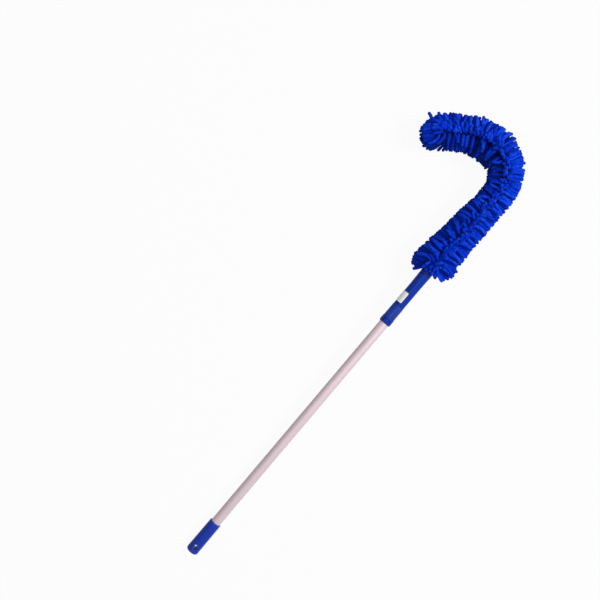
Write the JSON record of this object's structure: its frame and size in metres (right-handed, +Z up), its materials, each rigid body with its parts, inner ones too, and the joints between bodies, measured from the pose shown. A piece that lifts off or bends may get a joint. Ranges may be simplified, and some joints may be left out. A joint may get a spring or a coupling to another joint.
{
  "type": "duster",
  "caption": "Telescopic blue and silver duster: a twist-lock pole with a hang hole and a bendable head in a washable chenille sleeve, bent to a hook.",
  "frame": {"origin": "bottom centre of the bounding box, on the surface that the duster lies on", "axes": "+X along the pole from the grip towards the head, +Y towards the side that the hook bends to, +Z up"},
  "size_m": [1.1572, 0.2646, 0.1009],
  "materials": {
    "blue_plastic": "satin moulded",
    "silver_paint": "satin paint",
    "bare_steel": "drawn",
    "pale_plastic": "matt",
    "black_plastic": "matt",
    "white_label": "coated paper",
    "blue_fabric": "knitted",
    "blue_chenille": "thick chenille"
  },
  "bodies": {
    "outer_pole": {"grip": "blue_plastic", "outer_tube": "silver_paint", "mouth_collar": "blue_plastic"},
    "lock": {"lock_sleeve": "pale_plastic"},
    "inner_pole": {"lock_spindle": "black_plastic", "inner_tube": "bare_steel", "pole_socket": "blue_plastic", "head_neck": "blue_plastic", "label": "white_label", "sleeve_cuff": "blue_fabric", "core_wire_00": "bare_steel", "sleeve_00": "blue_chenille"},
    "seg_01": {"core_wire_01": "bare_steel", "frame_link_01": "pale_plastic", "sleeve_01": "blue_chenille"},
    "seg_02": {"core_wire_02": "bare_steel", "frame_link_02": "pale_plastic", "sleeve_02": "blue_chenille"},
    "seg_03": {"core_wire_03": "bare_steel", "frame_link_03": "pale_plastic", "sleeve_03": "blue_chenille"},
    "seg_04": {"core_wire_04": "bare_steel", "frame_link_04": "pale_plastic", "sleeve_04": "blue_chenille"},
    "seg_05": {"core_wire_05": "bare_steel", "frame_link_05": "pale_plastic", "sleeve_05": "blue_chenille"},
    "seg_06": {"core_wire_06": "bare_steel", "frame_link_06": "pale_plastic", "sleeve_06": "blue_chenille"},
    "seg_07": {"core_wire_07": "bare_steel", "frame_link_07": "pale_plastic", "sleeve_07": "blue_chenille"},
    "seg_08": {"core_wire_08": "bare_steel", "frame_link_08": "pale_plastic", "sleeve_08": "blue_chenille"},
    "seg_09": {"core_wire_09": "bare_steel", "frame_link_09": "pale_plastic", "sleeve_09": "blue_chenille"},
    "seg_10": {"core_wire_10": "bare_steel", "frame_link_10": "pale_plastic", "sleeve_10": "blue_chenille"},
    "seg_11": {"core_wire_11": "bare_steel", "frame_tip": "pale_plastic", "sleeve_11": "blue_chenille"}
  },
  "joints": [
    {"name": "pole_slide", "type": "slide", "parent": "outer_pole", "child": "lock", "axis": [0.9992, 0, 0.0411], "range_m": [0, 0.44]},
    {"name": "pole_twist", "type": "hinge", "parent": "lock", "child": "inner_pole", "pos_m": [-0.57832, -0.08365, 0.01367], "axis": [0.9992, 0, 0.0411], "continuous": true},
    {"name": "bend_01", "type": "hinge", "parent": "inner_pole", "child": "seg_01", "pos_m": [0.25627, -0.08365, 0.04799], "axis": [-0.0409, 0.1002, 0.9941], "range_deg": [-22, 22], "deforming": ["sleeve_00", "sleeve_01"]},
    {"name": "bend_02", "type": "hinge", "parent": "seg_01", "child": "seg_02", "pos_m": [0.29964, -0.08365, 0.04977], "axis": [-0.0409, 0.1002, 0.9941], "range_deg": [-19, 25], "deforming": ["sleeve_01", "sleeve_02"]},
    {"name": "bend_03", "type": "hinge", "parent": "seg_02", "child": "seg_03", "pos_m": [0.34293, -0.08592, 0.05178], "axis": [-0.0409, 0.1002, 0.9941], "range_deg": [-22, 22], "deforming": ["sleeve_02", "sleeve_03"]},
    {"name": "bend_04", "type": "hinge", "parent": "seg_03", "child": "seg_04", "pos_m": [0.38623, -0.08818, 0.05379], "axis": [-0.0409, 0.1002, 0.9941], "range_deg": [-22, 22], "deforming": ["sleeve_03", "sleeve_04"]},
    {"name": "bend_05", "type": "hinge", "parent": "seg_04", "child": "seg_05", "pos_m": [0.42952, -0.09043, 0.0558], "axis": [-0.0409, 0.1002, 0.9941], "range_deg": [-29, 15], "deforming": ["sleeve_04", "sleeve_05"]},
    {"name": "bend_06", "type": "hinge", "parent": "seg_05", "child": "seg_06", "pos_m": [0.47279, -0.08742, 0.05727], "axis": [-0.0409, 0.1002, 0.9941], "range_deg": [-47, 1], "deforming": ["sleeve_05", "sleeve_06"]},
    {"name": "bend_07", "type": "hinge", "parent": "seg_06", "child": "seg_07", "pos_m": [0.5108, -0.06649, 0.05673], "axis": [-0.0409, 0.1002, 0.9941], "range_deg": [-56, 1], "deforming": ["sleeve_06", "sleeve_07"]},
    {"name": "bend_08", "type": "hinge", "parent": "seg_07", "child": "seg_08", "pos_m": [0.53065, -0.02801, 0.05367], "axis": [-0.0409, 0.1002, 0.9941], "range_deg": [-53, 4], "deforming": ["sleeve_07", "sleeve_08"]},
    {"name": "bend_09", "type": "hinge", "parent": "seg_08", "child": "seg_09", "pos_m": [0.5278, 0.01506, 0.04921], "axis": [-0.0409, 0.1002, 0.9941], "range_deg": [-43, 1], "deforming": ["sleeve_08", "sleeve_09"]},
    {"name": "bend_10", "type": "hinge", "parent": "seg_09", "child": "seg_10", "pos_m": [0.50964, 0.0542, 0.04452], "axis": [-0.0409, 0.1002, 0.9941], "range_deg": [-32, 12], "deforming": ["sleeve_09", "sleeve_10"]},
    {"name": "bend_11", "type": "hinge", "parent": "seg_10", "child": "seg_11", "pos_m": [0.48491, 0.08957, 0.03994], "axis": [-0.0409, 0.1002, 0.9941], "range_deg": [-28, 16], "deforming": ["sleeve_10", "sleeve_11"]}
  ]
}
